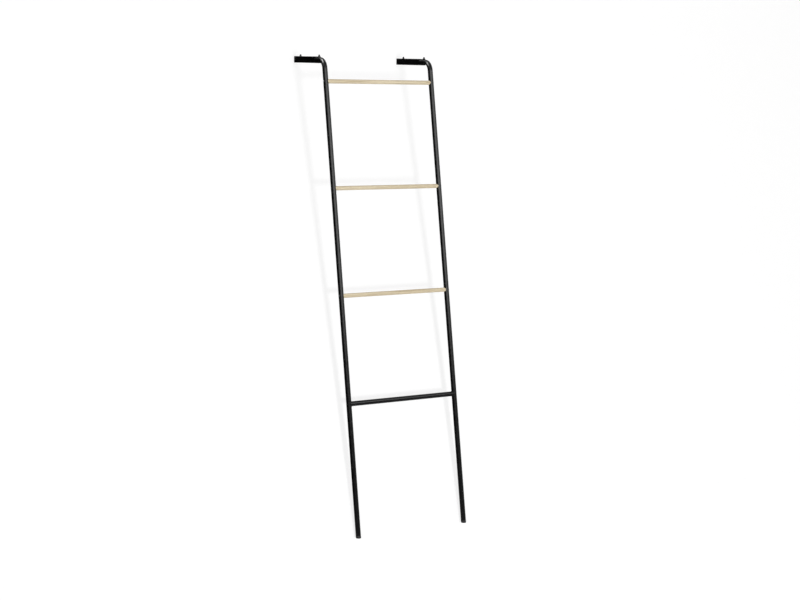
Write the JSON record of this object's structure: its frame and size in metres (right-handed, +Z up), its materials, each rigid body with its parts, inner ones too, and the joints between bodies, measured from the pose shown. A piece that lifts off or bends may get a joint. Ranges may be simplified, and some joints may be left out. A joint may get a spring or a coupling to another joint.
{
  "type": "towel ladder",
  "caption": "Leaning towel ladder: bent black steel rails with flat arms to the wall, pale wooden rungs and a steel rung below.",
  "frame": {"origin": "on the floor, in the middle of the ladder's width and of its depth from the feet to the wall", "axes": "+X along the rungs to the right, +Y towards the wall, +Z up"},
  "size_m": [0.453, 0.6068, 1.697],
  "materials": {
    "powder_coat": "fine matt powder coat",
    "ash": "pale ash, sanded and matt oiled",
    "zinc_screw": "zinc plated, satin",
    "brass": "turned brass",
    "black_rubber": "moulded matt rubber"
  },
  "bodies": {
    "root": {"left_rail": "powder_coat", "right_rail": "powder_coat", "top_rung": "ash", "middle_rung": "ash", "lower_rung": "ash", "steel_rung": "powder_coat", "left_rung_weld": "powder_coat", "right_rung_weld": "powder_coat", "top_rung_inserts": "brass", "middle_rung_inserts": "brass", "lower_rung_inserts": "brass", "top_rung_screws": "zinc_screw", "middle_rung_screws": "zinc_screw", "lower_rung_screws": "zinc_screw", "left_arm_bar": "powder_coat", "right_arm_bar": "powder_coat", "left_arm_end_plates": "powder_coat", "right_arm_end_plates": "powder_coat", "left_arm_welds": "powder_coat", "right_arm_welds": "powder_coat", "left_rear_peg": "powder_coat", "left_front_peg": "powder_coat", "right_rear_peg": "powder_coat", "right_front_peg": "powder_coat", "left_wall_pad": "black_rubber", "right_wall_pad": "black_rubber", "left_foot": "black_rubber", "right_foot": "black_rubber"}
  },
  "joints": []
}
